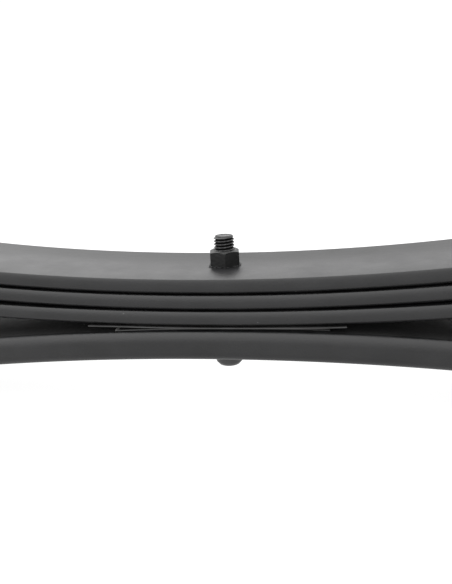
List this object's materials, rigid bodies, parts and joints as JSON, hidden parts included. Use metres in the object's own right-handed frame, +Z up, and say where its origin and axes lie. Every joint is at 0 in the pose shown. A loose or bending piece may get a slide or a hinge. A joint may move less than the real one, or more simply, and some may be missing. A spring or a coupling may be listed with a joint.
{
  "type": "leaf spring",
  "caption": "Semi-elliptic truck leaf spring: nested leaves with bushed eyes, tip pads and rebound clips over a thick reverse-arched overload leaf, held by a centre bolt.",
  "frame": {"origin": "on the centre bolt's axis, at the underside of the overload leaf, where the bolt's head begins", "axes": "+X from the front eye to the rear eye, +Y across the leaves, +Z up, away from the axle seat"},
  "size_m": [1.3045, 0.0854, 0.3162],
  "materials": {
    "spring_leaf": "semi-matte black dip coat over shot-peened steel",
    "centre_hardware": "dark phosphate with the coat's overspray",
    "seat_liner": "zinc sheet, dull face and bright sheared edge",
    "clip_strap": "black paint on bent strip",
    "clip_hardware": "zinc plate, slightly dulled",
    "bush_shell": "plain rolled steel",
    "bush_rubber": "matte moulded rubber",
    "bush_sleeve": "zinc-plated tube with turned ends",
    "tip_pad": "moulded, fine spark texture"
  },
  "bodies": {
    "seat": {"main_leaf": "spring_leaf", "second_leaf": "spring_leaf", "third_leaf": "spring_leaf", "overload_leaf": "spring_leaf", "upper_seat_liner": "seat_liner", "lower_seat_liner": "seat_liner", "centre_bolt": "centre_hardware", "centre_nut": "centre_hardware"},
    "front_eye": {"front_eye_shell": "bush_shell", "front_eye_rubber": "bush_rubber"},
    "front_sleeve": {"front_eye_sleeve": "bush_sleeve"},
    "rear_eye": {"rear_eye_bush_left": "bush_rubber", "rear_eye_bush_right": "bush_rubber"},
    "rear_sleeve": {"rear_eye_sleeve": "bush_sleeve"},
    "front_clip": {"front_clip_strap": "clip_strap", "front_clip_rivet": "clip_hardware", "front_clip_bolt": "clip_hardware", "front_clip_nut": "clip_hardware", "front_clip_spacer": "clip_hardware"},
    "rear_clip": {"rear_clip_strap": "clip_strap", "rear_clip_rivet": "clip_hardware", "rear_clip_bolt": "clip_hardware", "rear_clip_nut": "clip_hardware", "rear_clip_spacer": "clip_hardware"},
    "front_second_pad": {"front_second_leaf_pad": "tip_pad"},
    "rear_second_pad": {"rear_second_leaf_pad": "tip_pad"},
    "front_third_pad": {"front_third_leaf_pad": "tip_pad"},
    "rear_third_pad": {"rear_third_leaf_pad": "tip_pad"}
  },
  "joints": [
    {"name": "front_half_flex", "type": "hinge", "parent": "seat", "child": "front_eye", "pos_m": [0, 0, 0.03529], "axis": [0, -1, 0], "range_deg": [0, 12], "stiffness_Nm_per_rad": 4500, "deforming": ["main_leaf", "second_leaf", "third_leaf"]},
    {"name": "rear_half_flex", "type": "hinge", "parent": "seat", "child": "rear_eye", "pos_m": [0, 0, 0.03529], "axis": [0, 1, 0], "range_deg": [0, 13.01], "stiffness_Nm_per_rad": 4200},
    {"name": "front_sleeve_twist", "type": "hinge", "parent": "front_eye", "child": "front_sleeve", "pos_m": [-0.6, 0, 0.23267], "axis": [0, 1, 0], "range_deg": [-25, 25], "stiffness_Nm_per_rad": 115},
    {"name": "rear_sleeve_twist", "type": "hinge", "parent": "rear_eye", "child": "rear_sleeve", "pos_m": [0.65, 0, 0.26226], "axis": [0, 1, 0], "range_deg": [-25, 25], "stiffness_Nm_per_rad": 90},
    {"name": "front_second_pad_flex", "type": "hinge", "parent": "seat", "child": "front_second_pad", "pos_m": [-0.1968, 0, 0.05549], "axis": [0, -1, 0], "range_deg": [0, 18.83]},
    {"name": "front_third_pad_flex", "type": "hinge", "parent": "seat", "child": "front_third_pad", "pos_m": [-0.19692, 0, 0.04417], "axis": [0, -1, 0], "range_deg": [0, 18.35]},
    {"name": "front_clip_flex", "type": "hinge", "parent": "seat", "child": "front_clip", "pos_m": [-0.17866, 0, 0.0413], "axis": [0, -1, 0], "range_deg": [0, 16.08]},
    {"name": "rear_second_pad_flex", "type": "hinge", "parent": "seat", "child": "rear_second_pad", "pos_m": [0.21449, 0, 0.06087], "axis": [0, 1, 0], "range_deg": [0, 20.29]},
    {"name": "rear_third_pad_flex", "type": "hinge", "parent": "seat", "child": "rear_third_pad", "pos_m": [0.21417, 0, 0.04851], "axis": [0, 1, 0], "range_deg": [0, 19.68]},
    {"name": "rear_clip_flex", "type": "hinge", "parent": "seat", "child": "rear_clip", "pos_m": [0.19582, 0, 0.04533], "axis": [0, 1, 0], "range_deg": [0, 17.43]}
  ],
  "couplings": [
    {"joint": "rear_half_flex", "follows": "front_half_flex", "ratio": 1.0833},
    {"joint": "front_second_pad_flex", "follows": "front_half_flex", "ratio": 1.5683},
    {"joint": "front_third_pad_flex", "follows": "front_half_flex", "ratio": 1.5287},
    {"joint": "front_clip_flex", "follows": "front_half_flex", "ratio": 1.3389},
    {"joint": "rear_second_pad_flex", "follows": "front_half_flex", "ratio": 1.6896},
    {"joint": "rear_third_pad_flex", "follows": "front_half_flex", "ratio": 1.6393},
    {"joint": "rear_clip_flex", "follows": "front_half_flex", "ratio": 1.4513}
  ]
}
